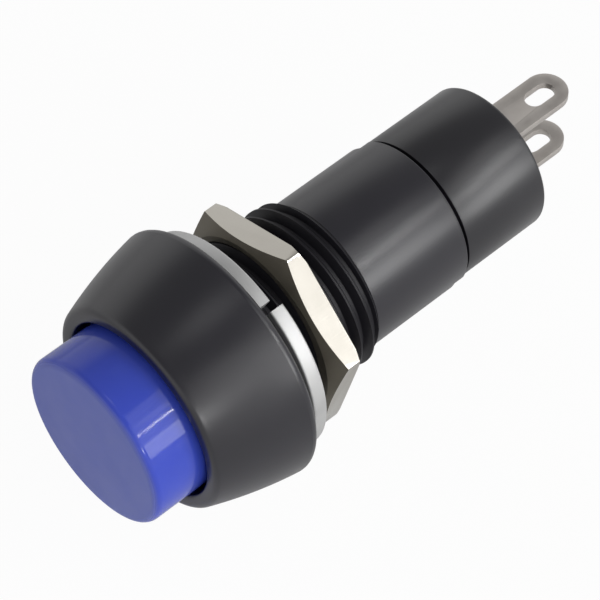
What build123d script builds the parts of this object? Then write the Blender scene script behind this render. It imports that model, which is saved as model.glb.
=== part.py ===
from build123d import *
import os
from math import ceil, cos, radians, sin, tan

# Round pushbutton switch for a 12 mm panel hole: blue cap, flared bezel moulded in one with the
# threaded neck and the body, split lock washer, hex nut, and a base with two flat solder lugs.
#
# Frame: the origin is on the switch's axis, in the plane of the bezel's back face, which seats on
# the front of the panel. +Y runs along the axis from the button to the solder lugs and +Z is up.
# The broad faces of the lugs look up and down. All lengths are millimetres, angles are degrees.
# Every station along the axis is a y value, so what stands in front of the panel is negative.

# ---- clearances -------------------------------------------------------------------------------
guide_clearance = 0.08      # stem in the partition's hole, radially
sliding_clearance = 0.12    # contact disc on the stem's tip, radially
disc_clearance = 0.37       # contact disc in the contact chamber, radially
cap_clearance = 0.30        # blue cap in the bezel, radially: the dark ring round the button
seat_gap = 0.02             # between pieces that bear on each other and move
plug_clearance = 0.05       # base's plug in the barrel, and lugs in the base's slots
thread_clearance = 0.09     # between the neck's thread and the nut's, radially and along the axis
washer_clearance = 0.20     # lock washer round the thread's crests, radially

# ---- button -----------------------------------------------------------------------------------
cap_r = 6.0
cap_wall = 1.05
cap_top = 1.3
cap_proud = 3.68            # from the bezel's lip to the cap's face
cap_length = 6.2
cap_edge_fillet = 0.55
snap_bead = 0.25            # ring in the cap that snaps behind the plunger's head
press_travel = 3.0

# ---- bezel, at the front of the barrel ----------------------------------------------------------
bezel_height = 6.95
bezel_lip_wall = 0.95       # outside the cap's well, at the lip
bezel_flare = 1.8           # how much wider the bezel is at its back than at its lip
bezel_bulge = 0.21          # how far the flared side swells past a straight cone
bezel_floor = 1.1           # wall behind the cap's well
bezel_rim_fillet = 0.5
bezel_lip_fillet = 0.42
bezel_mouth_chamfer = 0.22

# ---- threaded neck and body -------------------------------------------------------------------
thread_r = 5.95
thread_pitch = 1.0
thread_root_flat = 0.22      # left between two turns of the ridge at the root
thread_flank = 30           # flank angle from a plane square to the axis
thread_sunk = 0.08          # how deep the ridge's foot reaches under the root
thread_start = 0.2          # the ridge's middle, at the angle below
thread_angle = 60           # from +X towards +Z
thread_end = 8.3            # where the runout meets the body
thread_lead = 0.55          # length of the tapered lead-in and runout
body_r = 5.42
body_end = 16.1             # the seam with the base
body_wall = 1.0
neck_wall = 1.2
partition_front = 5.0
partition_thickness = 1.6
seam_chamfer = 0.08         # on the body's rear edge
seam_groove_width = 0.24    # in the base's shoulder, the dark line round the seam
seam_groove_depth = 0.45
snap_depth = 0.2            # base's snap ring and the groove it sits in
snap_width = 0.7
key_notch_width = 2.6       # shallow moulded notches in the body's rear edge
key_notch_depth = 0.18
key_notch_length = 0.85
key_notch_angle = -32       # from +X towards +Z

# ---- plunger ----------------------------------------------------------------------------------
stem_r = 2.0
tip_r = 1.5
head_thickness = 1.2
clip_thickness = 0.5
clip_ring = 0.85            # radial width of both E-clips
groove_depth = 0.4
tip_overhang = 0.55         # stem left behind the last clip
tip_chamfer = 0.25

# ---- springs and contacts ---------------------------------------------------------------------
return_wire_r = 0.28
return_coil_r = 3.2
return_turns = 5.5
contact_wire_r = 0.2
contact_coil_r = 2.35
contact_turns = 3
contact_spring_length = 3.0
disc_thickness = 0.4
overtravel = 0.6            # stroke left once the disc has met the rivets

# ---- lugs and rivets --------------------------------------------------------------------------
lug_width = 3.0
lug_thickness = 0.5
lug_offset = 2.3            # from the axis to the middle of a lug's thickness
lug_tip = 29.85
lug_hole_width = 1.3
lug_hole_length = 2.3
lug_hole_wall = 0.9         # metal left between the hole and the rounded tip
tab_width = 2.3
tab_inset = 0.22            # from the plug's side to the end of the inner tab
rivet_head_height = 0.55
rivet_dome_angle = 40       # half the arc of the domed head
rivet_tail_step = 0.2       # how much narrower the tail is than the head
rivet_tail_height = 0.25

# ---- base -------------------------------------------------------------------------------------
base_step = 0.19            # how much slimmer the base is than the body
base_end = 23.3
base_chamfer = 0.25
plug_lead = 0.2
tip_well_clearance = 0.5    # round and behind the stem's clip when the button is pressed home

# ---- nut and washer ---------------------------------------------------------------------------
nut_wall = 0.85             # from the thread's crests to the flats
nut_front = 3.0
nut_thickness = 1.8
nut_face_step = 0.38        # from the flats in to the flat front face, inside the corner chamfer
nut_corner_trim = 0.45       # how far the corners are cut back on the rear face
nut_chamfer_angle = 25
nut_turned = 15.2           # a corner's angle from +X towards +Z
washer_width = 1.85
washer_thickness = 1.05
washer_rise = 0.55          # how far the spring washer's ends stand apart along the axis
washer_cut_angle = 63       # the cut's angle from +X towards +Z
washer_cut = 4.3            # width of the cut, degrees

# ---- stations along the axis --------------------------------------------------------------------
lip_y = -bezel_height
cap_face_y = lip_y - cap_proud
cap_under_y = cap_face_y + cap_top
cap_end_y = cap_face_y + cap_length
well_r = cap_r + cap_clearance
bezel_lip_r = well_r + bezel_lip_wall
bezel_back_r = bezel_lip_r + bezel_flare
cap_inner_r = cap_r - cap_wall
head_r = cap_inner_r - plug_clearance
head_back_y = cap_under_y + head_thickness
crest_half = thread_pitch / 16
thread_depth = (thread_pitch / 2 - crest_half - thread_root_flat / 2) / tan(radians(thread_flank))
root_r = thread_r - thread_depth
spring_well_r = root_r - neck_wall
cavity_r = body_r - body_wall
plug_r = cavity_r - plug_clearance
base_r = body_r - base_step
shoulder_y = body_end + seam_groove_width
partition_back = partition_front + partition_thickness
stem_clip_y = partition_back + seat_gap
stem_clip_back = stem_clip_y + clip_thickness
disc_r = cavity_r - disc_clearance
disc_front_y = stem_clip_back + contact_spring_length
disc_back_y = disc_front_y + disc_thickness
disc_clip_y = disc_back_y + seat_gap
disc_clip_back = disc_clip_y + clip_thickness
stem_end_y = disc_clip_back + tip_overhang
tab_reach = plug_r - tab_inset
lug_outer = lug_offset + lug_thickness / 2
rivet_offset = (lug_outer + tab_reach) / 2
rivet_head_r = (tab_reach - lug_outer) / 2
rivet_tail_r = rivet_head_r - rivet_tail_step
rivet_shank_r = rivet_head_r / 2
rivet_front_y = disc_back_y + press_travel - overtravel + seat_gap
tab_front_y = rivet_front_y + rivet_head_height
plug_front_y = tab_front_y + lug_thickness
disc_clip_r = tip_r - groove_depth + clip_ring
nut_back = nut_front + nut_thickness
nut_flat_r = thread_r + nut_wall
nut_face_r = nut_flat_r - nut_face_step
washer_inner_r = thread_r + washer_clearance
washer_r = washer_inner_r + washer_width


def revolved(outline, mode=Mode.ADD):
    """Turn a closed outline of (radius, y) points about the switch's axis, in the open part."""
    with BuildSketch(Plane.XY) as section:
        with BuildLine():
            Polyline(*outline, close=True)
        make_face()
    revolve(section.sketch, axis=Axis.Y, mode=mode)


def helix_about_y(start, turns, radius, pitch, angle=0, lefthand=False):
    """A helix about the switch's axis that starts at an angle from +X towards +Z."""
    turned = Plane((0, start, 0), x_dir=(cos(radians(angle)), 0, sin(radians(angle))),
                   z_dir=(0, 1, 0))
    return turned * Helix(pitch=pitch, height=turns * pitch, radius=radius, lefthand=lefthand,
                          mode=Mode.PRIVATE)


def section_plane(path):
    """The plane square to a helix at its start, with x pointing away from the switch's axis."""
    start = path @ 0
    return Plane(start, x_dir=Vector(start.X, 0, start.Z).normalized(), z_dir=path % 0)


def thread_ridge(start, turns, grow=0.0):
    """Helical ridge whose foot is sunk in the root cylinder. Where it cuts the nut it is grown by a
    clearance, and sunk less, so that its turns stay apart. Ridges whose starts are whole pitches
    apart are in phase."""
    sunk = thread_sunk - grow
    crest = crest_half + grow
    foot = crest + (thread_depth + sunk) * tan(radians(thread_flank))
    path = helix_about_y(start, turns, root_r, thread_pitch, angle=thread_angle)
    with BuildSketch(section_plane(path), mode=Mode.PRIVATE) as section:
        with BuildLine():
            Polyline((-sunk, -foot), (thread_depth + grow, -crest),
                     (thread_depth + grow, crest), (-sunk, foot), close=True)
        make_face()
    return sweep(section.sketch, path=path, is_frenet=True, mode=Mode.PRIVATE)


def coil_spring(start, end, turns, coil_r, wire_r):
    """Open coil of round wire, drawn with six sides, that fits between two seats."""
    pitch = (end - start - 2 * wire_r) / turns
    path = helix_about_y(start + wire_r, turns, coil_r, pitch)
    with BuildPart() as spring:
        with BuildSketch(section_plane(path)):
            RegularPolygon(radius=wire_r, side_count=6)
        sweep(path=path, is_frenet=True)
    return spring.part


def e_clip(start, inner_r):
    """Spring-steel clip pushed into a groove from the side, with its mouth downwards."""
    outer_r = inner_r + clip_ring
    with BuildPart() as clip:
        with BuildSketch(Plane.XZ.offset(-start)):
            Circle(outer_r)
            Circle(inner_r, mode=Mode.SUBTRACT)
            with Locations((0, -outer_r)):
                Rectangle(1.5 * inner_r, 2 * outer_r - inner_r, mode=Mode.SUBTRACT)
        extrude(amount=-clip_thickness)
    return clip.part


# ---- blue cap -----------------------------------------------------------------------------------
bead_y = head_back_y + seat_gap
with BuildPart() as button_cap:
    revolved([(0, cap_face_y), (cap_r, cap_face_y), (cap_r, cap_end_y), (cap_inner_r, cap_end_y),
              (cap_inner_r, bead_y + 2 * snap_bead), (cap_inner_r - snap_bead, bead_y + snap_bead),
              (cap_inner_r - snap_bead, bead_y), (cap_inner_r, bead_y),
              (cap_inner_r, cap_under_y), (0, cap_under_y)])
    front_rim = button_cap.edges().filter_by(GeomType.CIRCLE).group_by(Axis.Y)[0]
    fillet(front_rim, radius=cap_edge_fillet)
button_cap.part.label = "button_cap"

# ---- plunger --------------------------------------------------------------------------------------
stem_groove_r = stem_r - groove_depth
tip_groove_r = tip_r - groove_depth
with BuildPart() as plunger:
    revolved([(0, cap_under_y), (head_r, cap_under_y), (head_r, head_back_y),
              (stem_r, head_back_y), (stem_r, stem_clip_y), (stem_groove_r, stem_clip_y),
              (stem_groove_r, stem_clip_back), (tip_r, stem_clip_back), (tip_r, disc_clip_y),
              (tip_groove_r, disc_clip_y), (tip_groove_r, disc_clip_back),
              (tip_r, disc_clip_back), (tip_r, stem_end_y - tip_chamfer),
              (tip_r - tip_chamfer, stem_end_y), (0, stem_end_y)])
plunger.part.label = "plunger"

stem_clip = e_clip(stem_clip_y, stem_groove_r)
stem_clip.label = "stem_clip"
disc_clip = e_clip(disc_clip_y, tip_groove_r)
disc_clip.label = "disc_clip"

# ---- springs --------------------------------------------------------------------------------------
return_spring = coil_spring(head_back_y + seat_gap, partition_front - seat_gap, return_turns,
                            return_coil_r, return_wire_r)
return_spring.label = "return_spring"
contact_spring = coil_spring(stem_clip_back + seat_gap, disc_front_y - seat_gap, contact_turns,
                             contact_coil_r, contact_wire_r)
contact_spring.label = "contact_spring"

# ---- moving contact: a plain brass disc with its edges broken -------------------------------------
with BuildPart() as contact_disc:
    with BuildSketch(Plane.XZ.offset(-disc_front_y)):
        Circle(disc_r)
        Circle(tip_r + sliding_clearance, mode=Mode.SUBTRACT)
    extrude(amount=-disc_thickness)
    chamfer(contact_disc.edges().filter_by(GeomType.CIRCLE).group_by(SortBy.RADIUS)[-1],
            length=disc_thickness / 4)
contact_disc.part.label = "contact_disc"

# ---- barrel: bezel, threaded neck and body in one moulding ----------------------------------------
bezel_middle = Vector((bezel_lip_r + bezel_back_r) / 2 + bezel_bulge, lip_y / 2)
cavity_snap_y = (plug_front_y + body_end) / 2
with BuildPart() as barrel:
    with BuildSketch(Plane.XY) as bezel_section:
        with BuildLine():
            flare = ThreePointArc((bezel_lip_r, lip_y), bezel_middle, (bezel_back_r, 0))
            Polyline(flare @ 1, (0, 0), (0, -bezel_floor), (well_r, -bezel_floor),
                     (well_r, lip_y), flare @ 0)
        make_face()
        lip_corners = bezel_section.vertices().group_by(Axis.Y)[0].sort_by(Axis.X)
        fillet(lip_corners[-1], radius=bezel_lip_fillet)
        chamfer(bezel_section.vertices().group_by(Axis.Y)[0].sort_by(Axis.X)[0],
                length=bezel_mouth_chamfer)
        fillet(bezel_section.vertices().group_by(Axis.Y)[-1].sort_by(Axis.X)[-1],
               radius=bezel_rim_fillet)
    revolve(axis=Axis.Y)

    # neck and body, with the seam's chamfer at the rear edge
    revolved([(0, -bezel_floor), (root_r, -bezel_floor), (root_r, thread_end), (body_r, thread_end),
              (body_r, body_end - seam_chamfer), (body_r - seam_chamfer, body_end),
              (0, body_end)])

    # thread, trimmed by two cones to a tapered lead-in at the bezel and a runout at the body
    ridge_turns = ceil((thread_end - thread_start) / thread_pitch) + 1
    ridge = thread_ridge(thread_start - thread_pitch, ridge_turns + 1)
    cones_r = root_r + 1.5 * thread_depth
    cones_length = 1.5 * thread_lead
    with BuildPart(mode=Mode.PRIVATE) as thread_cones:
        revolved([(0, 0), (root_r, 0), (cones_r, cones_length),
                  (cones_r, thread_end - cones_length), (root_r, thread_end), (0, thread_end)])
    add(ridge & thread_cones.part)

    # spring well in front of the partition, contact chamber behind it, and the stem's guide hole
    guide_r = stem_r + guide_clearance
    revolved([(0, -bezel_floor), (spring_well_r, -bezel_floor), (spring_well_r, partition_front),
              (guide_r, partition_front), (guide_r, partition_back), (cavity_r, partition_back),
              (cavity_r, cavity_snap_y - snap_width / 2), (cavity_r + snap_depth, cavity_snap_y),
              (cavity_r, cavity_snap_y + snap_width / 2), (cavity_r, body_end), (0, body_end)],
             mode=Mode.SUBTRACT)

    # two shallow notches opposite each other in the rear edge, where the mould's keys sat
    for side in (0, 180):
        notch_angle = key_notch_angle + side
        notch_plane = Plane(origin=(0, body_end, 0), x_dir=(0, 1, 0),
                            z_dir=(cos(radians(notch_angle)), 0, sin(radians(notch_angle))))
        with BuildSketch(notch_plane.offset(body_r - key_notch_depth)):
            Rectangle(2 * key_notch_length, key_notch_width)
        extrude(amount=body_r, mode=Mode.SUBTRACT)
barrel.part.label = "barrel"

# ---- base: plug inside the barrel, collar flush behind it, slots for the lugs ---------------------
slot_depth = base_end - plug_front_y
tip_well_r = disc_clip_r + tip_well_clearance
tip_well_end = stem_end_y + press_travel + tip_well_clearance
with BuildPart() as terminal_base:
    revolved([(0, plug_front_y), (plug_r - plug_lead, plug_front_y), (plug_r, plug_front_y + plug_lead),
              (plug_r, cavity_snap_y - snap_width / 2), (plug_r + snap_depth, cavity_snap_y),
              (plug_r, cavity_snap_y + snap_width / 2), (plug_r, body_end),
              (base_r - seam_groove_depth, body_end), (base_r - seam_groove_depth, shoulder_y),
              (base_r, shoulder_y), (base_r, base_end), (0, base_end)])
    rear_rim = terminal_base.edges().filter_by(GeomType.CIRCLE).group_by(Axis.Y)[-1]
    chamfer(rear_rim, length=base_chamfer)
    with BuildSketch(Plane.XZ.offset(-plug_front_y)):
        Circle(tip_well_r)
    extrude(amount=plug_front_y - tip_well_end, mode=Mode.SUBTRACT)
    with BuildSketch(Plane.XZ.offset(-plug_front_y)):
        with Locations((0, lug_offset), (0, -lug_offset)):
            Rectangle(lug_width + 2 * plug_clearance, lug_thickness + 2 * plug_clearance)
    extrude(amount=-slot_depth, mode=Mode.SUBTRACT)
    with BuildSketch(Plane.XZ.offset(-plug_front_y)):
        with Locations((0, rivet_offset), (0, -rivet_offset)):
            Circle(rivet_tail_r + plug_clearance)
    extrude(amount=-(rivet_tail_height + plug_clearance), mode=Mode.SUBTRACT)
terminal_base.part.label = "terminal_base"


def solder_lug(side):
    """Flat strip: contact tab bent outwards on the plug's face, blade through the base to a round
    tip with an oblong hole. side is +1 for the upper lug and -1 for the lower one."""
    inner = lug_outer - lug_thickness
    with BuildPart() as lug:
        with BuildSketch(Plane.YZ) as section:
            with BuildLine():
                Polyline((lug_tip, inner), (tab_front_y, inner), (tab_front_y, tab_reach),
                         (plug_front_y, tab_reach), (plug_front_y, lug_outer), (lug_tip, lug_outer),
                         close=True)
            make_face()
            bend_outside = section.vertices().group_by(Axis.X)[0].sort_by(Axis.Y)[0]
            fillet(bend_outside, radius=lug_thickness)
        extrude(amount=lug_width / 2, both=True)
        # the tab is narrower than the blade, so that it clears the round chamber
        with BuildSketch(Plane.XZ.offset(-tab_front_y)):
            with Locations((lug_width / 2, tab_reach), (-lug_width / 2, tab_reach)):
                Rectangle(lug_width - tab_width, 2 * (tab_reach - lug_outer))
        extrude(amount=-lug_thickness, mode=Mode.SUBTRACT)
        with BuildSketch(Plane.XZ.offset(-tab_front_y)):
            with Locations((0, rivet_offset)):
                Circle(rivet_shank_r)
        extrude(amount=-lug_thickness, mode=Mode.SUBTRACT)
        # the round tip and the oblong hole are cut through the blade's broad faces
        tip_centre = lug_tip - lug_width / 2
        with BuildSketch(Plane.XY.offset(inner - lug_thickness)):
            with Locations((0, tip_centre)):
                Rectangle(2 * lug_width, lug_width, align=(Align.CENTER, Align.MIN))
                Circle(lug_width / 2, mode=Mode.SUBTRACT)
            with Locations((0, lug_tip - lug_hole_wall - lug_hole_length / 2)):
                SlotOverall(lug_hole_length, lug_hole_width, rotation=90)
        extrude(amount=3 * lug_thickness, mode=Mode.SUBTRACT)
    return lug.part if side > 0 else lug.part.rotate(Axis.Y, 180)


def contact_rivet(side):
    """Silver rivet: domed head in front of the tab, shank through it, flattened tail behind it."""
    head_y = rivet_front_y
    dome_r = rivet_head_r / sin(radians(rivet_dome_angle))
    with BuildPart() as rivet:
        with BuildSketch(Plane.XY):
            with BuildLine():
                dome = JernArc((0, head_y), (1, 0), dome_r, rivet_dome_angle)
                Polyline(dome @ 1, (rivet_head_r, tab_front_y), (rivet_shank_r, tab_front_y),
                         (rivet_shank_r, plug_front_y), (rivet_tail_r, plug_front_y),
                         (rivet_tail_r, plug_front_y + rivet_tail_height),
                         (0, plug_front_y + rivet_tail_height), dome @ 0)
            make_face()
        revolve(axis=Axis.Y)
    return Pos(0, 0, side * rivet_offset) * rivet.part


terminal_upper = solder_lug(1)
terminal_upper.label = "terminal_upper"
terminal_lower = solder_lug(-1)
terminal_lower.label = "terminal_lower"
contact_rivet_upper = contact_rivet(1)
contact_rivet_upper.label = "contact_rivet_upper"
contact_rivet_lower = contact_rivet(-1)
contact_rivet_lower.label = "contact_rivet_lower"

# ---- hex nut: tapped with the neck's own ridge, grown by the thread clearance ---------------------
nut_corner_r = nut_flat_r / cos(radians(30))
nut_slope = tan(radians(nut_chamfer_angle))
nut_bore_r = root_r + thread_clearance
tap_start = nut_front - thread_pitch
tap_end = nut_back + thread_pitch
turns_before_tap = int((tap_start - thread_start) / thread_pitch)
tap_turns = ceil((tap_end - tap_start) / thread_pitch) + 1
with BuildPart() as hex_nut:
    with BuildSketch(Plane.XZ.offset(-nut_front)):
        RegularPolygon(radius=nut_corner_r, side_count=6, rotation=nut_turned)
    extrude(amount=-nut_thickness)
    with BuildPart(mode=Mode.PRIVATE) as nut_envelope:
        revolved([(0, nut_front), (nut_face_r, nut_front),
                  (nut_corner_r, nut_front + (nut_corner_r - nut_face_r) * nut_slope),
                  (nut_corner_r, nut_back - nut_corner_trim * nut_slope),
                  (nut_corner_r - nut_corner_trim, nut_back), (0, nut_back)])
    add(nut_envelope.part, mode=Mode.INTERSECT)
    add(thread_ridge(thread_start + turns_before_tap * thread_pitch, tap_turns, thread_clearance),
        mode=Mode.SUBTRACT)
    revolved([(0, tap_start), (nut_bore_r, tap_start), (nut_bore_r, tap_end), (0, tap_end)],
             mode=Mode.SUBTRACT)
hex_nut.part.label = "hex_nut"

# ---- split lock washer: one left-handed turn with square-cut ends ----------------------------------
washer_turn = (360 - washer_cut) / 360
with BuildPart() as lock_washer:
    washer_middle_r = (washer_r + washer_inner_r) / 2
    washer_pitch = washer_rise / washer_turn
    washer_path = helix_about_y(washer_thickness / 2 + seat_gap, washer_turn, washer_middle_r,
                                washer_pitch, angle=washer_cut_angle + washer_cut / 2,
                                lefthand=True)
    with BuildSketch(section_plane(washer_path)):
        Rectangle(washer_r - washer_inner_r, washer_thickness)
    sweep(path=washer_path, is_frenet=True)
lock_washer.part.label = "lock_washer"

# ---- one STEP file for each piece ------------------------------------------------------------------
os.makedirs("parts", exist_ok=True)
pieces = [barrel.part, button_cap.part, plunger.part, stem_clip, disc_clip, return_spring,
          contact_spring, contact_disc.part, terminal_base.part, terminal_upper, terminal_lower,
          contact_rivet_upper, contact_rivet_lower, hex_nut.part, lock_washer.part]
for piece in pieces:
    export_step(piece, f"parts/{piece.label}.step")
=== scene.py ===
# %% [markdown]
# # Dressing a panel-mount pushbutton switch
#
# The switch comes from CAD as a set of plain solids that already have the right sizes and places.
# This lesson gives those solids their looks. The pieces that are seen are modelled again with finer
# edges, the hidden ones keep their CAD shapes, and every piece gets a material that starts from
# what the real one is made of. Lengths are written in millimetres and turned into metres. The
# switch lies along the Y axis, the button towards -Y and the solder lugs towards +Y.

# %% Load the CAD frame
from math import cos, hypot, pi, radians, sin, tan

import bpy
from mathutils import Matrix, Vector


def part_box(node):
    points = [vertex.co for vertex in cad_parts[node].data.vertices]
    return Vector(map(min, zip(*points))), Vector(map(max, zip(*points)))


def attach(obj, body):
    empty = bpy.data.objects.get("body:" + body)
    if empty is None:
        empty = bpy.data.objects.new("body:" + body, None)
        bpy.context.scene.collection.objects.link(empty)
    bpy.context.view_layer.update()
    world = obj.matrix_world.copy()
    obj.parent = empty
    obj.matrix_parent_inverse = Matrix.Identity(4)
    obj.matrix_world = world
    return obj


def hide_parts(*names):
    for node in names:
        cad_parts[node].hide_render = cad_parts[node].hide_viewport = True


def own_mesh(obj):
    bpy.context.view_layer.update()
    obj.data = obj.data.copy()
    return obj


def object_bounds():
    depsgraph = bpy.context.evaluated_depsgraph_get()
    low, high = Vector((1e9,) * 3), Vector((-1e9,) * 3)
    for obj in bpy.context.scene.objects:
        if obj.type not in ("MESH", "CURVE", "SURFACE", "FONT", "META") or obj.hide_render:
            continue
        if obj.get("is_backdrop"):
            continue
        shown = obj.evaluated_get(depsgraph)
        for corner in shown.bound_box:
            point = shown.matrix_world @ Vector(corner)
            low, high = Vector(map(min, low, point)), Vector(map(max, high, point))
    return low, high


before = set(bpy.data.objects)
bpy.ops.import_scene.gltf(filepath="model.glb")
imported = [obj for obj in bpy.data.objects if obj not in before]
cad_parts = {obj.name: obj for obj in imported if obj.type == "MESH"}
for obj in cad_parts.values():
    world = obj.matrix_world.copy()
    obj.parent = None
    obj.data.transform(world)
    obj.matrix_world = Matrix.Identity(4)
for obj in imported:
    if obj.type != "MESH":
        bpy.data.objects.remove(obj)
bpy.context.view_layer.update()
bpy.ops.object.select_all(action="DESELECT")
mm = 0.001
print("CAD nodes:", sorted(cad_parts))

# %% [markdown]
# ## Camera
#
# A long lens a hand's span away keeps the barrel's sides almost parallel, as in a catalogue
# picture of a small component. The camera stands to the right of the button, in front of it and
# well above it, so the flared bezel, the nut, the body and both lugs are all in view.

# %% Camera
camera_place = Vector((91.12, -77.26, 159.02)) * mm
camera_aim = Vector((0.27, 6.34, -0.27)) * mm
camera = bpy.data.objects.new("camera", bpy.data.cameras.new("camera"))
bpy.context.collection.objects.link(camera)
camera.data.lens = 192
camera.data.sensor_width = 36
camera.data.clip_start = 0.01
camera.location = camera_place
camera.rotation_euler = (camera_aim - camera_place).to_track_quat("-Z", "Y").to_euler()
bpy.context.scene.camera = camera
bpy.context.scene.view_settings.view_transform = "Standard"
print("camera to object, mm:", round((camera_aim - camera_place).length / mm))

# %% [markdown]
# ## Turning round pieces
#
# Nearly every piece of a switch like this comes off a lathe or out of a round mould. A Screw
# modifier on an outline could make them, but extruding a ring shows better how each station along
# the axis follows the last one. So the ring is extruded, resized and moved from station to station.


# %% A lathe
def turned(name, stations, closed=False, sides=160):
    """A turned solid from (radius, y) stations in mm: its ends are capped, or, when the outline
    closes on itself, the last ring is welded to the first."""
    bpy.ops.object.select_all(action="DESELECT")
    radius, y = stations[0]
    bpy.ops.mesh.primitive_circle_add(vertices=sides, radius=radius * mm,
                                      location=(0, y * mm, 0), rotation=(pi / 2, 0, 0))
    piece = bpy.context.object
    piece.name = name
    bpy.ops.object.transform_apply(location=True, rotation=True, scale=True)
    bpy.ops.object.mode_set(mode="EDIT")
    bpy.ops.mesh.select_all(action="SELECT")
    for next_radius, next_y in stations[1:] + (stations[:1] if closed else []):
        bpy.ops.mesh.extrude_region_move()
        grow = next_radius / radius
        bpy.ops.transform.resize(value=(grow, 1, grow))
        bpy.ops.transform.translate(value=(0, (next_y - y) * mm, 0))
        radius, y = next_radius, next_y
    bpy.ops.mesh.select_all(action="SELECT")
    if closed:
        bpy.ops.mesh.remove_doubles(threshold=1e-7)
    else:
        bpy.ops.mesh.fill_holes(sides=0)
    bpy.ops.mesh.select_all(action="SELECT")
    bpy.ops.mesh.normals_make_consistent(inside=False)
    bpy.ops.object.mode_set(mode="OBJECT")
    print("turned", name, "from", len(stations), "stations")
    return piece


# %% [markdown]
# ## Picking and rounding
#
# By hand a ring is picked with a click. In code its vertices are found by where they are: a test
# is asked about each vertex, and the edges and faces between the chosen ones are selected with
# them. A bevel on such a ring gives the rounded rim that every moulding has.

# %% Picking vertices and rounding rings
near = 0.01             # how far in mm a vertex may lie from the place it is looked for at


def pick(piece, wanted):
    """Leaves the piece in edit mode with the vertices selected that `wanted` accepts, given their
    place in mm."""
    bpy.ops.object.select_all(action="DESELECT")
    bpy.context.view_layer.objects.active = piece
    piece.select_set(True)
    bpy.ops.object.mode_set(mode="EDIT")
    bpy.ops.mesh.select_mode(type="VERT")
    bpy.ops.mesh.select_all(action="DESELECT")
    bpy.ops.object.mode_set(mode="OBJECT")
    for vertex in piece.data.vertices:
        vertex.select = wanted(vertex.co / mm)
    bpy.ops.object.mode_set(mode="EDIT")


def round_ring(piece, radius, y, width, segments=5):
    """Bevels the ring with this radius at this place along the axis, to this width in mm."""
    pick(piece, lambda p: abs(hypot(p.x, p.z) - radius) < near and abs(p.y - y) < near)
    bpy.ops.mesh.bevel(offset=width * mm, segments=segments, affect="EDGES")
    bpy.ops.object.mode_set(mode="OBJECT")
    print("rounded", piece.name, "at radius", radius)


# %% [markdown]
# ## Joining and cutting
#
# Threads, slots and hexagon corners cross the turned shapes. Cutting them by hand, face by face,
# would take a long time, so a Boolean modifier joins, cuts or trims one piece with another and is
# applied at once. It can leave edges too short to matter, which are dissolved.


# %% Modifiers and Booleans
def apply_modifier(piece, kind, **settings):
    modifier = piece.modifiers.new(kind.lower(), kind)
    for setting, value in settings.items():
        setattr(modifier, setting, value)
    bpy.ops.object.select_all(action="DESELECT")
    bpy.context.view_layer.objects.active = piece
    piece.select_set(True)
    bpy.ops.object.modifier_apply(modifier=modifier.name)


def combine(piece, tool, operation):
    """Joins, cuts or trims a piece with another one, which is used up."""
    apply_modifier(piece, "BOOLEAN", object=tool, operation=operation, solver="EXACT")
    bpy.data.objects.remove(tool)
    bpy.ops.object.mode_set(mode="EDIT")
    bpy.ops.mesh.select_all(action="SELECT")
    bpy.ops.mesh.dissolve_degenerate(threshold=0.0005 * mm)
    bpy.ops.object.mode_set(mode="OBJECT")
    print(operation.lower(), "on", piece.name)


# %% [markdown]
# ## Winding
#
# A thread, a spring washer and a coil spring are one idea: an outline that goes round the axis
# while it climbs along it. The Screw modifier does exactly that. It starts at +X, so the result is
# then turned to the angle where the real one starts.


# %% Sweeping an outline along a helix
def wind(piece, turn_degrees, climb, start_angle, steps):
    apply_modifier(piece, "SCREW", axis="Y", angle=radians(turn_degrees), screw_offset=climb * mm,
                   steps=steps, render_steps=steps, use_smooth_shade=False)
    bpy.ops.object.mode_set(mode="EDIT")
    bpy.ops.mesh.select_all(action="SELECT")
    bpy.ops.mesh.fill_holes(sides=24)
    bpy.ops.mesh.select_all(action="SELECT")
    bpy.ops.mesh.normals_make_consistent(inside=False)
    bpy.ops.object.mode_set(mode="OBJECT")
    piece.rotation_euler = (0, -radians(start_angle), 0)
    bpy.ops.object.transform_apply(location=True, rotation=True, scale=True)
    print("wound", piece.name, "through", turn_degrees, "degrees")


# %% [markdown]
# ## Thread
#
# A thread is one ridge wound round a cylinder. The ridge starts as a flat plane whose outer edge is
# drawn in to a narrow crest, which leaves the 30 degree flanks. The same ridge, a little fatter,
# cuts the groove in the nut, so the two always mesh.

# %% Thread ridge
thread_radius = 5.95    # over the crests
thread_pitch = 1.0
flank = tan(radians(30))
crest_half = thread_pitch / 16
root_flat = 0.22        # left between two turns
thread_depth = (thread_pitch / 2 - crest_half - root_flat / 2) / flank
root_radius = thread_radius - thread_depth
thread_angle = 60       # where the ridge starts, from +X towards +Z
thread_start = 0.2      # the ridge's place along the axis there
ridge_sunk = 0.08       # how far its foot reaches into the neck
ridge_steps = 96        # in a turn


def thread_ridge(name, start, turns, grow=0.0):
    """A ridge of this many turns, fatter all round by `grow`."""
    sunk = ridge_sunk - grow
    crest = crest_half + grow
    foot = crest + (thread_depth + sunk) * flank
    inner, outer = root_radius - sunk, thread_radius + grow
    bpy.ops.mesh.primitive_plane_add(size=1, location=((inner + outer) / 2 * mm, start * mm, 0))
    ridge = bpy.context.object
    ridge.name = name
    ridge.scale = ((outer - inner) * mm, 2 * foot * mm, 1)
    bpy.ops.object.transform_apply(location=True, rotation=True, scale=True)
    pick(ridge, lambda p: p.x > (inner + outer) / 2)
    bpy.ops.transform.resize(value=(1, crest / foot, 1))
    bpy.ops.mesh.select_all(action="SELECT")
    bpy.ops.mesh.delete(type="ONLY_FACE")
    bpy.ops.object.mode_set(mode="OBJECT")
    wind(ridge, 360 * turns, thread_pitch * turns, thread_angle, ridge_steps * turns)
    return ridge


print("thread depth, mm:", round(thread_depth, 3))

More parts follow.
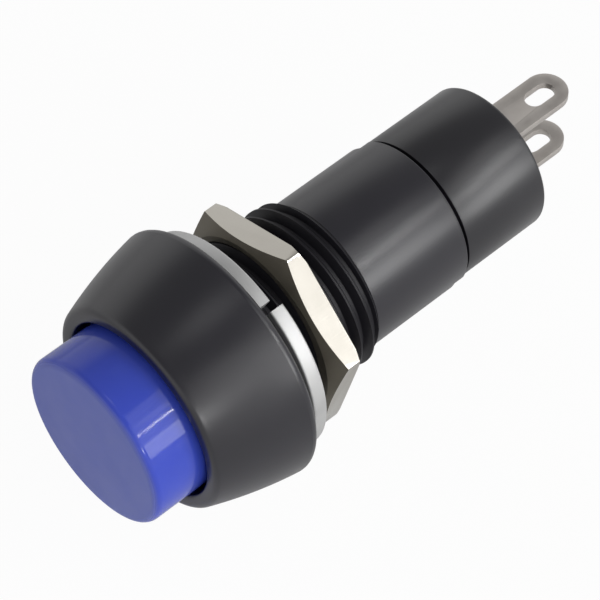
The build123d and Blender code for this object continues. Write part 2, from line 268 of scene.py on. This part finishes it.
# %% [markdown]
# ## Barrel: bezel, neck and body
#
# The bezel, the neck and the body of such a switch are one injection moulding. Its outline is
# walked once round, outside and inside, so the wall is closed. The flared side of the bezel is
# slightly barrel-shaped, which its stations follow. Moulded rims are never sharp, so the lip, the
# mouth and both rear rims are bevelled.

# %% Barrel
lip, seam = ((corner / mm).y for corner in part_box("barrel"))
well, well_floor = 6.3, -1.1            # the bore that the cap slides in
bezel_lip, bezel_back = 7.25, 9.05      # radii at the lip and at the panel
bulge, flare_steps = 0.21, 12
neck_bore, stem_hole = 4.18, 2.08
partition_front, partition_back = 5.0, 6.6
thread_end = 8.3
body_radius, cavity = 5.42, 4.42
snap, snap_half, snap_depth = 15.05, 0.35, 0.2      # the groove for the base's snap ring

shares = [step / flare_steps for step in range(flare_steps + 1)]
flare = [(bezel_lip + (bezel_back - bezel_lip) * t + 4 * bulge * t * (1 - t), lip * (1 - t))
         for t in shares]
barrel = turned("bezel_and_body", [(well, lip)] + flare + [
    (root_radius, 0), (root_radius, thread_end), (body_radius, thread_end), (body_radius, seam),
    (cavity, seam), (cavity, snap + snap_half), (cavity + snap_depth, snap),
    (cavity, snap - snap_half), (cavity, partition_back), (stem_hole, partition_back),
    (stem_hole, partition_front), (neck_bore, partition_front), (neck_bore, well_floor),
    (well, well_floor)], closed=True)
round_ring(barrel, bezel_lip, lip, width=0.33)
round_ring(barrel, well, lip, width=0.22, segments=3)
round_ring(barrel, bezel_back, 0, width=0.6, segments=6)
round_ring(barrel, body_radius, seam, width=0.09, segments=3)

# %% [markdown]
# ## Thread on the neck
#
# A moulded thread doesn't end in a cliff: it tapers at both ends, which lets a nut start. The long
# ridge is trimmed by two cones back to back, and what is left is joined to the neck.

# %% Thread on the neck
lead = 0.825            # length of each taper along the axis
lead_radius = root_radius + 1.5 * thread_depth
ridge = thread_ridge("thread", thread_start - thread_pitch, 10)
combine(ridge, turned("thread_cones", [
    (root_radius, 0), (lead_radius, lead), (lead_radius, thread_end - lead),
    (root_radius, thread_end)]), "INTERSECT")
combine(barrel, ridge, "UNION")

# %% [markdown]
# ## Key notches
#
# The body's rear edge has two shallow notches opposite each other, where the mould's keys sat. Each
# is cut by a block that overlaps the edge. After this the barrel is whole: it is shaded smooth
# across its gentle edges, rides on the housing and stands for its CAD solid.


# %% Key notches, and the finished barrel
def block(centre, size, turn=0):
    """A block for cutting, given in mm and turned about the switch's axis."""
    bpy.ops.mesh.primitive_cube_add(size=1, location=[c * mm for c in centre],
                                    scale=[s * mm for s in size])
    bpy.ops.object.transform_apply(location=True, rotation=True, scale=True)
    bpy.context.object.rotation_euler = (0, radians(turn), 0)
    bpy.ops.object.transform_apply(location=True, rotation=True, scale=True)
    return bpy.context.object


def smooth(piece, angle=35):
    """Shades smooth, apart from edges sharper than the angle."""
    bpy.ops.object.select_all(action="DESELECT")
    bpy.context.view_layer.objects.active = piece
    piece.select_set(True)
    bpy.ops.object.shade_smooth_by_angle(angle=radians(angle))
    print(piece.name, "has", len(piece.data.polygons), "faces")


notch_depth, notch_angle = 0.18, 32
notch_block = (2, 1.7, 2.6)     # radially, along the axis (half past the edge) and across
for side in (0, 180):
    middle = body_radius - notch_depth + notch_block[0] / 2
    combine(barrel, block((middle, seam, 0), notch_block, turn=notch_angle + side), "DIFFERENCE")
smooth(barrel)
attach(barrel, "housing")
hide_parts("barrel")

# %% [markdown]
# ## Blue cap
#
# The cap is a thin cup of glossy plastic that hides the plunger. It is turned from the middle of
# its inside out to the rim and back over the face. A small bead inside snaps behind the plunger's
# head. The edge round the face is well rounded, because a finger rests on it.

# %% Button cap
cap_front, cap_back = (corner.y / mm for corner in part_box("button_cap"))
cap_radius, cap_inside, cap_top = 6.0, 4.95, 1.3
bead, bead_radius, bead_rise = cap_front + 2.52, 4.7, 0.25
cap = turned("blue_cap", [
    (cap_inside, cap_front + cap_top), (cap_inside, bead), (bead_radius, bead),
    (bead_radius, bead + bead_rise), (cap_inside, bead + 2 * bead_rise), (cap_inside, cap_back),
    (cap_radius, cap_back), (cap_radius, cap_front)])
round_ring(cap, cap_radius, cap_front, width=0.55, segments=7)
smooth(cap)
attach(cap, "button")
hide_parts("button_cap")

# %% [markdown]
# ## Hex nut
#
# A thin nut is cut from hexagonal bar. Its front face is turned with a 25 degree chamfer, and where
# that cone meets the six flats it leaves the familiar arcs. Trimming a six-sided cylinder with a
# turned cone makes exactly those arcs.

# %% Hexagon
nut_front, nut_back = (corner.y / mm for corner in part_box("hex_nut"))
nut_flat = 6.8          # from the axis to a flat
nut_corner = nut_flat / cos(radians(30))
nut_turned = 15.2       # a corner's angle, from +X towards +Z
nut_edge = 0.06         # bevel on every sharp edge
bpy.ops.object.select_all(action="DESELECT")
bpy.ops.mesh.primitive_cylinder_add(
    vertices=6, radius=nut_corner * mm, depth=(nut_back - nut_front) * mm,
    location=(0, (nut_front + nut_back) / 2 * mm, 0),
    rotation=(pi / 2, radians(30 - nut_turned), 0))
nut = bpy.context.object
nut.name = "panel_nut"
bpy.ops.object.transform_apply(location=True, rotation=True, scale=True)
apply_modifier(nut, "BEVEL", width=nut_edge * mm, segments=2, limit_method="ANGLE")
print("nut across flats, mm:", 2 * nut_flat)

# %% [markdown]
# ## Chamfer and thread of the nut
#
# The cone that trims the hexagon reaches only a hair past its corners, because further out its two
# slopes would cross each other. The rear face loses only the corners' tips. A bore and the thread's
# own ridge, grown by one clearance, are then cut out of the nut.

# %% Nut's chamfer and thread
nut_face = 6.42         # radius of the flat front face
nut_trim = 0.45         # how far the corners are cut back on the rear face
slope = tan(radians(25))
outside = nut_corner + 0.05         # a hair past the corners
thread_gap = 0.09       # between the nut's thread and the neck's
nut_bore = root_radius + thread_gap
overlap = 1             # how far a cutter reaches past what it cuts
combine(nut, turned("nut_cone", [
    (nut_face, nut_front), (outside, nut_front + (outside - nut_face) * slope),
    (outside, nut_back - (outside - nut_corner + nut_trim) * slope),
    (nut_corner - nut_trim, nut_back)]), "INTERSECT")
combine(nut, turned("nut_bore", [(nut_bore, nut_front - overlap), (nut_bore, nut_back + overlap)]),
        "DIFFERENCE")
combine(nut, thread_ridge("nut_groove", thread_start + thread_pitch, 5, grow=thread_gap),
        "DIFFERENCE")
smooth(nut, angle=25)
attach(nut, "nut")
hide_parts("hex_nut")

# %% [markdown]
# ## Lock washer
#
# A spring washer is one turn of rectangular wire, cut so that its ends stand apart along the axis
# and bite into the nut and the panel. The wire's section is a plane with bevelled corners, swept
# just short of a full turn. It winds the opposite way to the thread, so the ends resist unscrewing.

# %% Lock washer
washer_inner, washer_outer = 6.15, 8.0
washer_thick, washer_rise = 1.05, 0.55
washer_edge = 0.14
cut_angle, cut_width = 63, 4.3          # the cut's middle, from +X towards +Z, and its width
washer_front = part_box("lock_washer")[0].y / mm
bpy.ops.object.select_all(action="DESELECT")
bpy.ops.mesh.primitive_plane_add(size=1, location=(
    (washer_outer + washer_inner) / 2 * mm, (washer_front + washer_thick / 2) * mm, 0))
washer = bpy.context.object
washer.name = "spring_washer"
washer.scale = ((washer_outer - washer_inner) * mm, washer_thick * mm, 1)
bpy.ops.object.transform_apply(location=True, rotation=True, scale=True)
bpy.ops.object.mode_set(mode="EDIT")
bpy.ops.mesh.select_all(action="SELECT")
bpy.ops.mesh.bevel(offset=washer_edge * mm, segments=4, affect="VERTICES")
bpy.ops.mesh.select_all(action="SELECT")
bpy.ops.mesh.delete(type="ONLY_FACE")
bpy.ops.object.mode_set(mode="OBJECT")
wind(washer, cut_width - 360, washer_rise, cut_angle + cut_width / 2, steps=180)
smooth(washer, angle=30)
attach(washer, "washer")
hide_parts("lock_washer")

# %% [markdown]
# ## Base
#
# The base is a second moulding. Its slimmer plug snaps into the barrel, and the collar that shows
# carries the lugs in two narrow slots. A groove at the collar's front edge draws the dark seam
# round the switch.

# %% Base
base_front, base_rear = (corner.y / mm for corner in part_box("terminal_base"))
base_radius, plug = 5.23, 4.37
plug_lead = 0.2         # taper at the plug's front
groove_width, groove_depth = 0.3, 0.45
shoulder = seam + groove_width
base = turned("lug_base", [
    (plug - plug_lead, base_front), (plug, base_front + plug_lead), (plug, snap - snap_half),
    (plug + snap_depth, snap), (plug, snap + snap_half), (plug, seam),
    (base_radius - groove_depth, seam), (base_radius - groove_depth, shoulder),
    (base_radius, shoulder), (base_radius, base_rear)])
round_ring(base, base_radius, shoulder, width=0.05, segments=2)
round_ring(base, base_radius, base_rear, width=0.25, segments=4)

# %% [markdown]
# ## Well and slots of the base
#
# A blind well leaves room for the stem's tip and its clip when the button is pressed home. The two
# slots go right through and are a little wider than the lugs, so that the lugs go in.

# %% Base's well and slots
tip_well, tip_well_floor = 2.45, 15.09
lug_width, lug_thick, lug_height = 3.0, 0.5, 2.3     # height above or below the axis
slot_play = 0.1
combine(base, turned("tip_well", [(tip_well, base_front - overlap), (tip_well, tip_well_floor)],
                     sides=96), "DIFFERENCE")
lug_slot = (lug_width + slot_play, base_rear - base_front + 2 * overlap, lug_thick + slot_play)
for height in (lug_height, -lug_height):
    combine(base, block((0, (base_front + base_rear) / 2, height), lug_slot), "DIFFERENCE")
smooth(base)
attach(base, "housing")
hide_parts("terminal_base")

# %% [markdown]
# ## Blade of a solder lug
#
# Each lug is stamped from strip, so it has an even thickness, a round tip and an oblong hole for
# the wire. Two rings of vertices give the outline and the hole: half of each is slid along to make
# it oblong, and the face between them is bridged.

# %% Lug blade
hole_width, hole_length, hole_wall = 1.3, 2.3, 0.9   # wall between the hole and the tip


def lug_ring(name, width, middle, height):
    bpy.ops.object.select_all(action="DESELECT")
    bpy.ops.mesh.primitive_circle_add(vertices=48, radius=width / 2 * mm,
                                      location=(0, middle * mm, height * mm))
    ring = bpy.context.object
    ring.name = name
    bpy.ops.object.transform_apply(location=True, rotation=True, scale=True)
    return ring


def lug_blade(name, height, tip, root):
    """The flat blade at the middle of its thickness, with its hole."""
    tip_middle = tip - lug_width / 2
    blade = lug_ring(name, lug_width, tip_middle, height)
    pick(blade, lambda p: p.y < tip_middle - near)
    bpy.ops.transform.resize(value=(1, 0, 1))
    bpy.ops.object.mode_set(mode="OBJECT")
    lowest = min(vertex.co.y for vertex in blade.data.vertices) / mm
    pick(blade, lambda p: p.y < tip_middle - near)
    bpy.ops.transform.translate(value=(0, (root - lowest) * mm, 0))
    bpy.ops.mesh.select_all(action="DESELECT")
    bpy.ops.object.mode_set(mode="OBJECT")
    hole_middle = tip - hole_wall - hole_width / 2
    hole = lug_ring(name + "_hole", hole_width, hole_middle, height)
    pick(hole, lambda p: p.y < hole_middle - near)
    bpy.ops.transform.translate(value=(0, (hole_width - hole_length) * mm, 0))
    bpy.ops.object.mode_set(mode="OBJECT")
    blade.select_set(True)
    bpy.context.view_layer.objects.active = blade
    bpy.ops.object.join()
    bpy.ops.object.mode_set(mode="EDIT")
    bpy.ops.mesh.select_all(action="SELECT")
    bpy.ops.mesh.bridge_edge_loops()
    bpy.ops.object.mode_set(mode="OBJECT")
    print(name, "reaches from", round(root, 2), "to", round(tip, 2))
    return blade


# %% [markdown]
# ## Bending the lugs
#
# Inside the base each lug is bent outwards into a tab that carries its contact. The blade's front
# edge is spun a quarter turn round the bend's centre and extruded into the tab. Solidify gives the
# strip its thickness, and a light bevel breaks the stamped edges.

# %% Solder lugs
bend = 0.3              # radius at the middle of the thickness
tab_reach = 4.15        # from the axis to the end of the tab
lug_edge = 0.04         # bevel on the stamped edges


def solder_lug(name, node, side):
    tab_front, tip = (corner.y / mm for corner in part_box(node))
    height = lug_height * side
    root = tab_front + lug_thick / 2 + bend
    lug = lug_blade(name, height, tip, root)
    pick(lug, lambda p: p.y < root + near)
    bpy.ops.mesh.spin(steps=6, angle=side * pi / 2, axis=(1, 0, 0),
                      center=(0, root * mm, (height + bend * side) * mm))
    bpy.ops.mesh.extrude_region_move(
        TRANSFORM_OT_translate={"value": (0, 0, side * (tab_reach - lug_height - bend) * mm)})
    bpy.ops.object.mode_set(mode="OBJECT")
    apply_modifier(lug, "SOLIDIFY", thickness=lug_thick * mm, offset=0, use_even_offset=True)
    apply_modifier(lug, "BEVEL", width=lug_edge * mm, segments=2, limit_method="ANGLE",
                   angle_limit=radians(50))
    smooth(lug, angle=30)
    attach(lug, "housing")
    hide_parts(node)
    return lug


upper_lug = solder_lug("upper_lug", "terminal_upper", 1)
lower_lug = solder_lug("lower_lug", "terminal_lower", -1)

# %% [markdown]
# ## Springs
#
# The two coil springs are hidden inside the barrel, but they show when the switch is opened. Each
# is a small circle of wire swept along its coil. A real spring gets shorter when the button goes
# in; these ride on their bodies, each with a mesh of its own, and keep their length.


# %% Springs
def coil(name, start, end, turns, coil_radius, wire_radius):
    bpy.ops.object.select_all(action="DESELECT")
    bpy.ops.mesh.primitive_circle_add(
        vertices=12, radius=wire_radius * mm,
        location=(coil_radius * mm, (start + wire_radius) * mm, 0))
    spring = bpy.context.object
    spring.name = name
    bpy.ops.object.transform_apply(location=True, rotation=True, scale=True)
    wind(spring, 360 * turns, end - start - 2 * wire_radius, start_angle=0, steps=int(64 * turns))
    smooth(spring, angle=50)
    return spring


springs = []
for name, node, body, turns, coil_radius, wire_radius, joint, keep in (
        ("return_coil", "return_spring", "housing", 5.5, 3.2, 0.28, "button_press", 0.771),
        ("contact_coil", "contact_spring", "button", 3, 2.35, 0.2, "contact_overtravel", 0.797)):
    low, high = (corner.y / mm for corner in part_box(node))
    spring = coil(name, low, high, turns, coil_radius, wire_radius)
    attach(spring, body)
    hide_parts(node)
    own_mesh(spring)
    springs.append(spring)

# %% [markdown]
# ## Helpers for materials
#
# Colours are written as the hex codes a paint chart gives and turned to linear light once. One
# function adds a node, sets it and fills or links its sockets, so a material reads from top to
# bottom as a recipe. The sockets of a Mix node share their names, so they are picked by number.

# %% Colour and node helpers
factor, value_a, value_b, colour_a, colour_b = 0, 2, 3, 6, 7     # a Mix node's inputs
mixed_value, mixed_colour = 0, 2                                 # and its outputs


def linear(hex_code):
    channels = [int(hex_code[i:i + 2], 16) / 255 for i in (1, 3, 5)]
    return tuple(c / 12.92 if c <= 0.04045 else ((c + 0.055) / 1.055) ** 2.4
                 for c in channels) + (1,)


def add(tree, kind, sockets=None, **settings):
    node = tree.nodes.new("ShaderNode" + kind)
    for setting, value in settings.items():
        setattr(node, setting, value)
    for socket, value in (sockets or {}).items():
        if isinstance(value, bpy.types.NodeSocket):
            tree.links.new(value, node.inputs[socket])
        else:
            node.inputs[socket].default_value = value
    return node


def new_material(name):
    material = bpy.data.materials.new(name)
    material.use_nodes = True
    material.node_tree.nodes.clear()
    print("material", name)
    return material, material.node_tree


print("mid grey in linear light:", round(linear("#808080")[0], 3))

# %% [markdown]
# ## Satin black ABS
#
# The barrel and the base are ABS moulded against a finely spark-eroded steel mould. The moulding
# is a very dark grey with a trace of violet rather than pure black, and its skin scatters a light
# into a soft band. The specular level is raised a little, for the glossy skin that ABS forms on
# the steel. Slow clouds about 3 mm across in colour and roughness stand for the uneven flow of the
# plastic. The grain of the eroded mould is drawn 0.12 mm across, coarser than it is, so that it can
# be seen. The thread gets a copy with less shine, which darkens it as painted shade, and a slightly
# lighter base colour, which is painted fill light in its shaded grooves. The roughness stays above
# 0.275, the value under which the denoiser takes a surface for a mirror: clouds that cross it would
# leave thin outlines.

# %% Satin black ABS
flow_clouds = 3.125     # mm
eroded_grain = 1 / 8.3  # mm: 8.3 grains to the millimetre
satin_spread = 0.03     # how far the clouds raise the roughness


def black_abs(name, dark, light, roughness, specular=0.7):
    material, tree = new_material(name)
    place = add(tree, "TexCoord").outputs["Object"]
    clouds = add(tree, "TexNoise", {"Vector": place, "Scale": 1 / (flow_clouds * mm),
                                    "Detail": 2, "Roughness": 0.4})
    grain = add(tree, "TexNoise", {"Vector": place, "Scale": 1 / (eroded_grain * mm), "Detail": 1})
    colour = add(tree, "Mix", {factor: clouds.outputs["Fac"], colour_a: linear(dark),
                               colour_b: linear(light)}, data_type="RGBA")
    satin = add(tree, "MapRange", {
        "Value": clouds.outputs["Fac"], "From Min": 0.2, "From Max": 0.8,
        "To Min": roughness, "To Max": roughness + satin_spread}, interpolation_type="SMOOTHSTEP")
    bump = add(tree, "Bump", {"Height": grain.outputs["Fac"], "Strength": 0.06,
                              "Distance": 0.02 * mm})
    shader = add(tree, "BsdfPrincipled", {
        "Base Color": colour.outputs[mixed_colour], "Roughness": satin.outputs["Result"],
        "IOR": 1.54, "Specular IOR Level": specular, "Normal": bump.outputs["Normal"]})
    add(tree, "OutputMaterial", {"Surface": shader.outputs["BSDF"]})
    return material


barrel_abs = black_abs("moulded_black_abs", "#181720", "#1e1c25", 0.277)
base_abs = black_abs("moulded_black_abs_base", "#19181e", "#1f1e24", 0.277)
# painted light: a duller copy of the black ABS for the thread, darker as painted shade, with a
# slightly lighter base colour as painted fill light in its grooves
thread_abs_painted_light = black_abs("moulded_black_abs_thread_painted_light", "#1c1b20", "#222126", 0.38, specular=0.2)

# %% [markdown]
# ## Glossy blue cap
#
# The cap is moulded in a polished mould from tinted plastic. Light enters it a little way before
# it comes back, which subsurface scattering gives, and keeps the blue saturated. Its face is hazier
# and paler than the side: towards the face the roughness rises and the tint turns milky. Both are
# measured along the axis, so the change lies in the rounded edge. The haze is uneven in patches of
# about 2.4 mm.

# %% Glossy blue plastic
haze_patch = 1 / 0.42   # mm
haze_start, haze_full = 0.25, 0.02      # mm behind the face
blue_gloss, tree = new_material("polished_blue_plastic")
place = add(tree, "TexCoord").outputs["Object"]
along = add(tree, "SeparateXYZ", {"Vector": place}).outputs["Y"]
on_face = add(tree, "MapRange", {
    "Value": along, "From Min": (cap_front + haze_start) * mm,
    "From Max": (cap_front + haze_full) * mm}).outputs["Result"]
haze = add(tree, "TexNoise", {"Vector": place, "Scale": 1 / (haze_patch * mm),
                              "Detail": 4}).outputs["Fac"]
face_haze, side_haze = (
    add(tree, "MapRange", {"Value": haze, "From Min": 0.3, "From Max": 0.7,
                           "To Min": least, "To Max": most}).outputs["Result"]
    for least, most in ((0.34, 0.46), (0.08, 0.12)))
roughness = add(tree, "Mix", {factor: on_face, value_a: side_haze, value_b: face_haze})
side_tint = add(tree, "Mix", {factor: haze, colour_a: linear("#4053cb"),
                              colour_b: linear("#465ad3")}, data_type="RGBA")
tint = add(tree, "Mix", {factor: on_face, colour_a: side_tint.outputs[mixed_colour],
                         colour_b: linear("#6a76c6")}, data_type="RGBA")
shader = add(tree, "BsdfPrincipled", {
    "Base Color": tint.outputs[mixed_colour], "Roughness": roughness.outputs[mixed_value],
    "IOR": 1.5, "Specular IOR Level": 0.42, "Subsurface Weight": 0.15,
    "Subsurface Radius": (0.2, 0.25, 1.0), "Subsurface Scale": 0.6 * mm})
add(tree, "OutputMaterial", {"Surface": shader.outputs["BSDF"]})

# %% [markdown]
# ## Plated and bare metals
#
# The nut is nickel plated, which is slightly warm and bright on its flats. Its front face and
# chamfer get a darker, duller copy of the nickel, which is painted shade. The washer is zinc plated
# spring steel, which is whiter, and the lugs are brass strip dipped in tin, which is duller. The
# springs and clips are bare drawn steel, the disc is rolled brass and the contacts are silver.
# They share one recipe: a metal colour that varies slowly in the plating, a roughness that varies
# with it, and fine handling scratches, drawn 0.11 mm wide so that they can be seen. Zinc and tin
# are not wholly metallic, because a dull plate is covered by a thin film that scatters light of its
# own, and the darker face is not wholly metallic either.

# %% Metals
scratch_width = 1 / 9   # mm
scratch_squeeze = 0.08  # along the scratch, so each is about 12 times as long as it is wide


def metal(name, dark, light, roughness, scratch=0.25, patch=1.5, metallic=1.0, uneven=0.06):
    """`patch` is the size in mm of the slow clouds in the plating, and `uneven` is how far they
    move the roughness."""
    material, tree = new_material(name)
    place = add(tree, "TexCoord").outputs["Object"]
    patches = add(tree, "TexNoise", {"Vector": place, "Scale": 1 / (patch * mm), "Detail": 4})
    stretched = add(tree, "Mapping", {"Vector": place, "Rotation": (0.4, 0.2, 0.9),
                                      "Scale": (1, scratch_squeeze, 1)})
    scratches = add(tree, "TexNoise", {"Vector": stretched.outputs["Vector"],
                                       "Scale": 1 / (scratch_width * mm), "Detail": 2})
    colour = add(tree, "Mix", {factor: patches.outputs["Fac"], colour_a: linear(dark),
                               colour_b: linear(light)}, data_type="RGBA")
    gloss = add(tree, "MapRange", {
        "Value": patches.outputs["Fac"], "From Min": 0.3, "From Max": 0.7,
        "To Min": roughness - uneven, "To Max": roughness + uneven})
    bump = add(tree, "Bump", {"Height": scratches.outputs["Fac"], "Strength": scratch,
                              "Distance": 0.01 * mm})
    shader = add(tree, "BsdfPrincipled", {
        "Base Color": colour.outputs[mixed_colour], "Metallic": metallic,
        "Roughness": gloss.outputs["Result"], "Normal": bump.outputs["Normal"]})
    add(tree, "OutputMaterial", {"Surface": shader.outputs["BSDF"]})
    return material


nickel = metal("nickel_plate", "#bdb9b0", "#c6c2ba", 0.11, scratch=0.2, uneven=0.015)
# painted shade: a darker, duller copy of the nickel for the nut's front face and chamfer
nickel_face_painted_shade = metal("nickel_plate_painted_shade", "#706a5f", "#847f73", 0.45, metallic=0.75)
zinc = metal("zinc_plate", "#c9c9c9", "#d9d9d8", 0.5, metallic=0.7)
tin = metal("dipped_tin", "#bfb8b3", "#d3cec8", 0.4, patch=0.8, metallic=0.85)
spring_wire = metal("drawn_spring_wire", "#8d8f93", "#a9abaf", 0.2)
brass = metal("rolled_brass", "#b98f45", "#cfa75c", 0.35)
silver = metal("contact_silver", "#cfcdc8", "#e2e0dc", 0.2)

# %% [markdown]
# ## White nylon
#
# The plunger slides dry in the barrel, so it is nylon, which is milky: light passes a little way
# into it. A pale base with some subsurface scattering and a waxy roughness gives that, with faint
# clouds of 2 mm.

# %% White nylon
milk_clouds = 2         # mm
nylon, tree = new_material("natural_nylon")
place = add(tree, "TexCoord").outputs["Object"]
cloudy = add(tree, "TexNoise", {"Vector": place, "Scale": 1 / (milk_clouds * mm), "Detail": 3})
milk = add(tree, "Mix", {factor: cloudy.outputs["Fac"], colour_a: linear("#dedbd0"),
                         colour_b: linear("#ebe8df")}, data_type="RGBA")
shader = add(tree, "BsdfPrincipled", {
    "Base Color": milk.outputs[mixed_colour], "Roughness": 0.42, "IOR": 1.53,
    "Subsurface Weight": 0.3, "Subsurface Radius": (1.0, 0.9, 0.7), "Subsurface Scale": 0.5 * mm})
add(tree, "OutputMaterial", {"Surface": shader.outputs["BSDF"]})

# %% [markdown]
# ## Putting the finishes on
#
# Each new piece gets one material, and two of them get a second one on some of their faces: the
# neck's thread and the nut's turned front face. Those faces are found by their place or by the way
# they point. The hidden pieces keep their CAD meshes, so only their material slots are filled.

# %% Put the materials on
neck_skin = (5.2, 6.0)  # the thread lies between these radii, root to crest
facing_front = -0.8     # normals below this along the axis: the turned face and its chamfer
for piece, material in ((barrel, barrel_abs), (base, base_abs), (cap, blue_gloss), (nut, nickel),
                        (washer, zinc), (upper_lug, tin), (lower_lug, tin),
                        (springs[0], spring_wire), (springs[1], spring_wire)):
    piece.data.materials.clear()
    piece.data.materials.append(material)


def finish_part(piece, material, wanted):
    """Gives a second material to the faces that `wanted` accepts, given their middle in mm and
    their normal."""
    piece.data.materials.append(material)
    for face in piece.data.polygons:
        if wanted(face.center / mm, face.normal):
            face.material_index = len(piece.data.materials) - 1


# the neck's thread gets the painted-light copy of the black ABS: painted shade from less shine,
# painted fill light from a lighter colour
finish_part(barrel, thread_abs_painted_light, lambda middle, normal: 0 < middle.y < thread_end
            and neck_skin[0] < hypot(middle.x, middle.z) < neck_skin[1])
# the nut's front face and chamfer get the darker nickel, which is painted shade
finish_part(nut, nickel_face_painted_shade, lambda middle, normal: normal.y < facing_front)
for node, material in (("plunger", nylon), ("stem_clip", spring_wire), ("disc_clip", spring_wire),
                       ("contact_disc", brass), ("contact_rivet_upper", silver),
                       ("contact_rivet_lower", silver)):
    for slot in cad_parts[node].material_slots:
        slot.material = material
    print(node, "is", material.name)

# %% [markdown]
# ## White surroundings
#
# The switch is shown as in a catalogue, on white. The camera sees white because the floor and the
# world are white to camera rays, and not because the lamps are strong. What metal mirrors, or a
# clear thing lets through, gets a fifth of that white, so the black plastic stays black. The light
# that falls on the object gets none of it. One function works out that share for both.

# %% What the rays see of the backdrop
mirrored_share = 0.2


def backdrop_share(tree, camera_share):
    paths = add(tree, "LightPath")
    mirrored = add(tree, "Math", {0: paths.outputs["Is Glossy Ray"],
                                  1: paths.outputs["Is Transmission Ray"]}, operation="ADD")
    partly = add(tree, "Math", {0: mirrored.outputs["Value"], 1: mirrored_share},
                 operation="MULTIPLY")
    share = add(tree, "Math", {0: paths.outputs["Is Camera Ray"], 1: camera_share,
                               2: partly.outputs["Value"]}, operation="MULTIPLY_ADD")
    return share.outputs["Value"]


print("mirrors see", mirrored_share, "of the backdrop")

# %% [markdown]
# ## Floor
#
# The floor is a matt white table just under the switch. To the camera it is nearly all backdrop,
# and the rest of it is paint, which keeps a faint shadow.

# %% Floor
floor_gap = 0.1         # mm under the lowest point, so that the two never flicker
lowest_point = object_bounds()[0][2]
bpy.ops.mesh.primitive_plane_add(size=1.2, location=(0, 0, lowest_point - floor_gap * mm))
floor = bpy.context.object
floor.name = "floor"
floor_paint, tree = new_material("white_table")
paint = add(tree, "BsdfDiffuse", {"Color": linear("#f4f4f4")})
white = add(tree, "Emission", {"Color": (1, 1, 1, 1), "Strength": 1.0})
table = add(tree, "MixShader", {0: backdrop_share(tree, camera_share=0.96),
                                1: paint.outputs["BSDF"], 2: white.outputs["Emission"]})
add(tree, "OutputMaterial", {"Surface": table.outputs["Shader"]})
floor.data.materials.append(floor_paint)
floor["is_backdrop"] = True

# %% [markdown]
# ## World
#
# The world is a pale room. Its walls are bright near the floor and fade upwards, as a studio's
# do under a dark ceiling, which keeps the top of the black body dark.

# %% World
walls_bright, ceiling_dark = 0.75, 0.1
fade_from, fade_to = 0.4, 0.72          # height of the direction, where 1 is straight up
world = bpy.data.worlds.new("white_room")
bpy.context.scene.world = world
world.use_nodes = True
tree = world.node_tree
tree.nodes.clear()
direction = add(tree, "TexCoord").outputs["Generated"]
upward = add(tree, "SeparateXYZ", {"Vector": direction}).outputs["Z"]
walls = add(tree, "MapRange", {
    "Value": upward, "From Min": fade_from, "From Max": fade_to, "To Min": walls_bright,
    "To Max": ceiling_dark}, interpolation_type="SMOOTHSTEP")
room = add(tree, "MapRange", {"Value": backdrop_share(tree, camera_share=1.0),
                              "To Min": walls.outputs["Result"], "To Max": 1.0})
background = add(tree, "Background", {"Color": (1, 1, 1, 1), "Strength": room.outputs["Result"]})
add(tree, "OutputWorld", {"Surface": background.outputs["Background"]})
print("world:", world.name)

# %% [markdown]
# ## Lights
#
# A tall softbox stands behind the switch on the right and draws the soft band along the body. It
# is in three rows, the lowest much the brightest, because one even box would leave the band too
# flat. A thin bright strip before it gives the line on the cap. A side softbox and a small glint
# light the right edges, and a small softbox overhead fills the rest.


# %% Lights
def softbox(name, direction, distance, size, radiance):
    """An area lamp that stands in this direction from the switch and faces it. Its power is worked
    out from how bright its face looks, where 1 is white."""
    lamp = bpy.data.lights.new(name, "AREA")
    lamp.shape = "RECTANGLE"
    lamp.size, lamp.size_y = size
    lamp.energy = radiance * pi * size[0] * size[1]
    stand = bpy.data.objects.new(name, lamp)
    bpy.context.collection.objects.link(stand)
    away = Vector(direction).normalized()
    stand.location = away * distance
    stand.rotation_euler = (-away).to_track_quat("-Z", "Y").to_euler()
    print("lamp", name, "at", round(distance, 2), "m")


stand_off = 0.5         # distance of the softboxes in metres
rearward, outward = 0.415, 0.91         # the tall softbox's direction, split along the axis
row_width = 0.3
for name, height_angle, half_span, radiance in (
        ("low_row", 15.75, 8.75, 3.4), ("middle_row", 37.75, 13.25, 0.9), ("high_row", 60, 9, 0.9)):
    direction = (outward * cos(radians(height_angle)), rearward,
                 outward * sin(radians(height_angle)))
    softbox(name, direction, stand_off, (row_width, tan(radians(half_span))), radiance)
softbox("thin_strip", (0.689, 0.416, 0.596), 0.45, size=(row_width, 0.005), radiance=42)
softbox("side_softbox", (0.8, -0.1, 0.6), stand_off, size=(0.2, 0.3), radiance=0.85)
softbox("glint", (0.89, -0.35, 0.3), stand_off, size=(0.06, 0.06), radiance=14)
softbox("top_softbox", (0.03, -0.05, 1.0), stand_off, size=(0.14, 0.14), radiance=0.9)

# %% [markdown]
# ## Sizes, and finish
#
# The length of the dressed switch along its axis is printed.

# %% Sizes, and finish
front_end, rear_end = (corner[1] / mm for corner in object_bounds())
print("dressed length, mm:", round(rear_end - front_end, 2))
